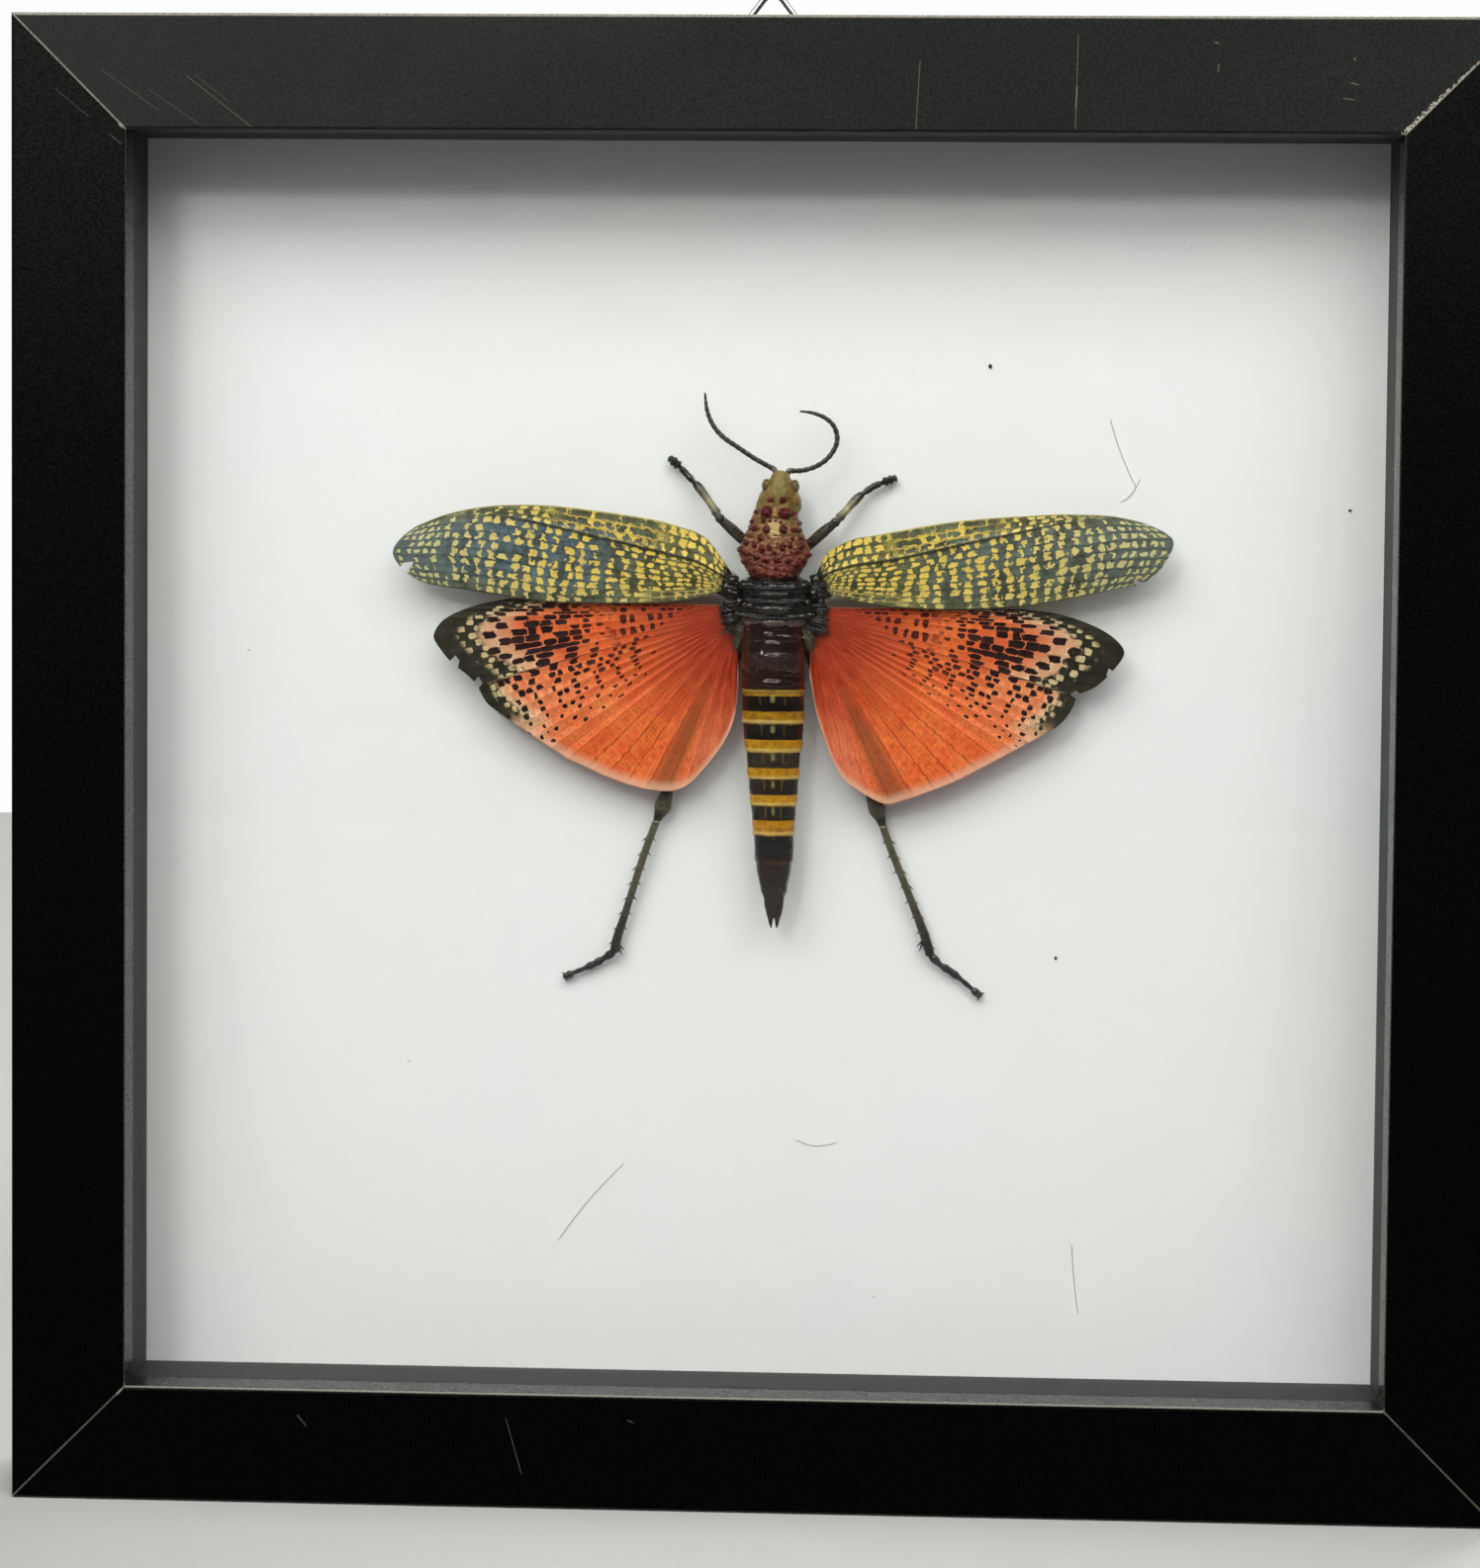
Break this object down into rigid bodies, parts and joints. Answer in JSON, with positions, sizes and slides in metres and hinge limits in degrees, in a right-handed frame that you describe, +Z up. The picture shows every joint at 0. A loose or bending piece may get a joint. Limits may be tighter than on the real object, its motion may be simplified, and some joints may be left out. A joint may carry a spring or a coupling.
{
  "type": "framed locust specimen",
  "caption": "Square black box frame with a spread locust, wings open, on a white board behind glass; it stands on its lower rail or hangs by a wire ring.",
  "frame": {"origin": "middle of the foot of the whole object's box, on the surface that the lower rail stands on", "axes": "+X to the viewer's right, +Y into the frame from its glass to its back, +Z up"},
  "size_m": [0.25, 0.0348, 0.2582],
  "materials": {
    "rail_foil": "black foil over fibreboard, satin, worn pale along the mitres",
    "clear_glass": "clear, polished, with a little dust",
    "spacer_card": "matte black",
    "white_board": "matte white",
    "fibreboard": "bare brown hardboard, matte",
    "steel": "bright zinc-plated wire and strip",
    "head_shell": "dried olive shell, satin, standing in for chitin",
    "pronotum_shell": "tan shell with maroon tubercles, standing in for chitin",
    "dark_shell": "glossy black-brown shell, standing in for chitin",
    "abdomen_shell": "yellow and black bands, glossy, standing in for chitin",
    "forewing": "slate and olive membrane with yellow cell spots",
    "hindwing": "orange-red membrane with dark cell spots",
    "glue": "cloudy set glue"
  },
  "bodies": {
    "frame": {"rail_top": "rail_foil", "rail_right": "rail_foil", "rail_bottom": "rail_foil", "rail_left": "rail_foil", "glass_pane": "clear_glass", "spacer_top": "spacer_card", "spacer_right": "spacer_card", "spacer_bottom": "spacer_card", "spacer_left": "spacer_card", "display_board": "white_board", "back_panel": "fibreboard", "tab_top_a": "steel", "tab_top_b": "steel", "tab_right_a": "steel", "tab_right_b": "steel", "tab_bottom_a": "steel", "tab_bottom_b": "steel", "tab_left_a": "steel", "tab_left_b": "steel", "hanger_strap": "steel", "hanger_screw": "steel", "head": "head_shell", "antenna_left": "dark_shell", "antenna_right": "dark_shell", "pronotum": "pronotum_shell", "thorax": "dark_shell", "abdomen": "abdomen_shell", "forewing_left": "forewing", "forewing_right": "forewing", "hindwing_left": "hindwing", "hindwing_right": "hindwing", "foreleg_left": "dark_shell", "foreleg_right": "dark_shell", "midleg_left": "dark_shell", "midleg_right": "dark_shell", "hindleg_left": "dark_shell", "hindleg_right": "dark_shell", "glue_pad": "glue"},
    "ring": {"hanging_ring": "steel"}
  },
  "joints": [
    {"name": "ring_swing", "type": "hinge", "parent": "frame", "child": "ring", "pos_m": [0.0007, 0.01605, 0.245], "axis": [-1, 0, 0], "range_deg": [0, 170]}
  ]
}
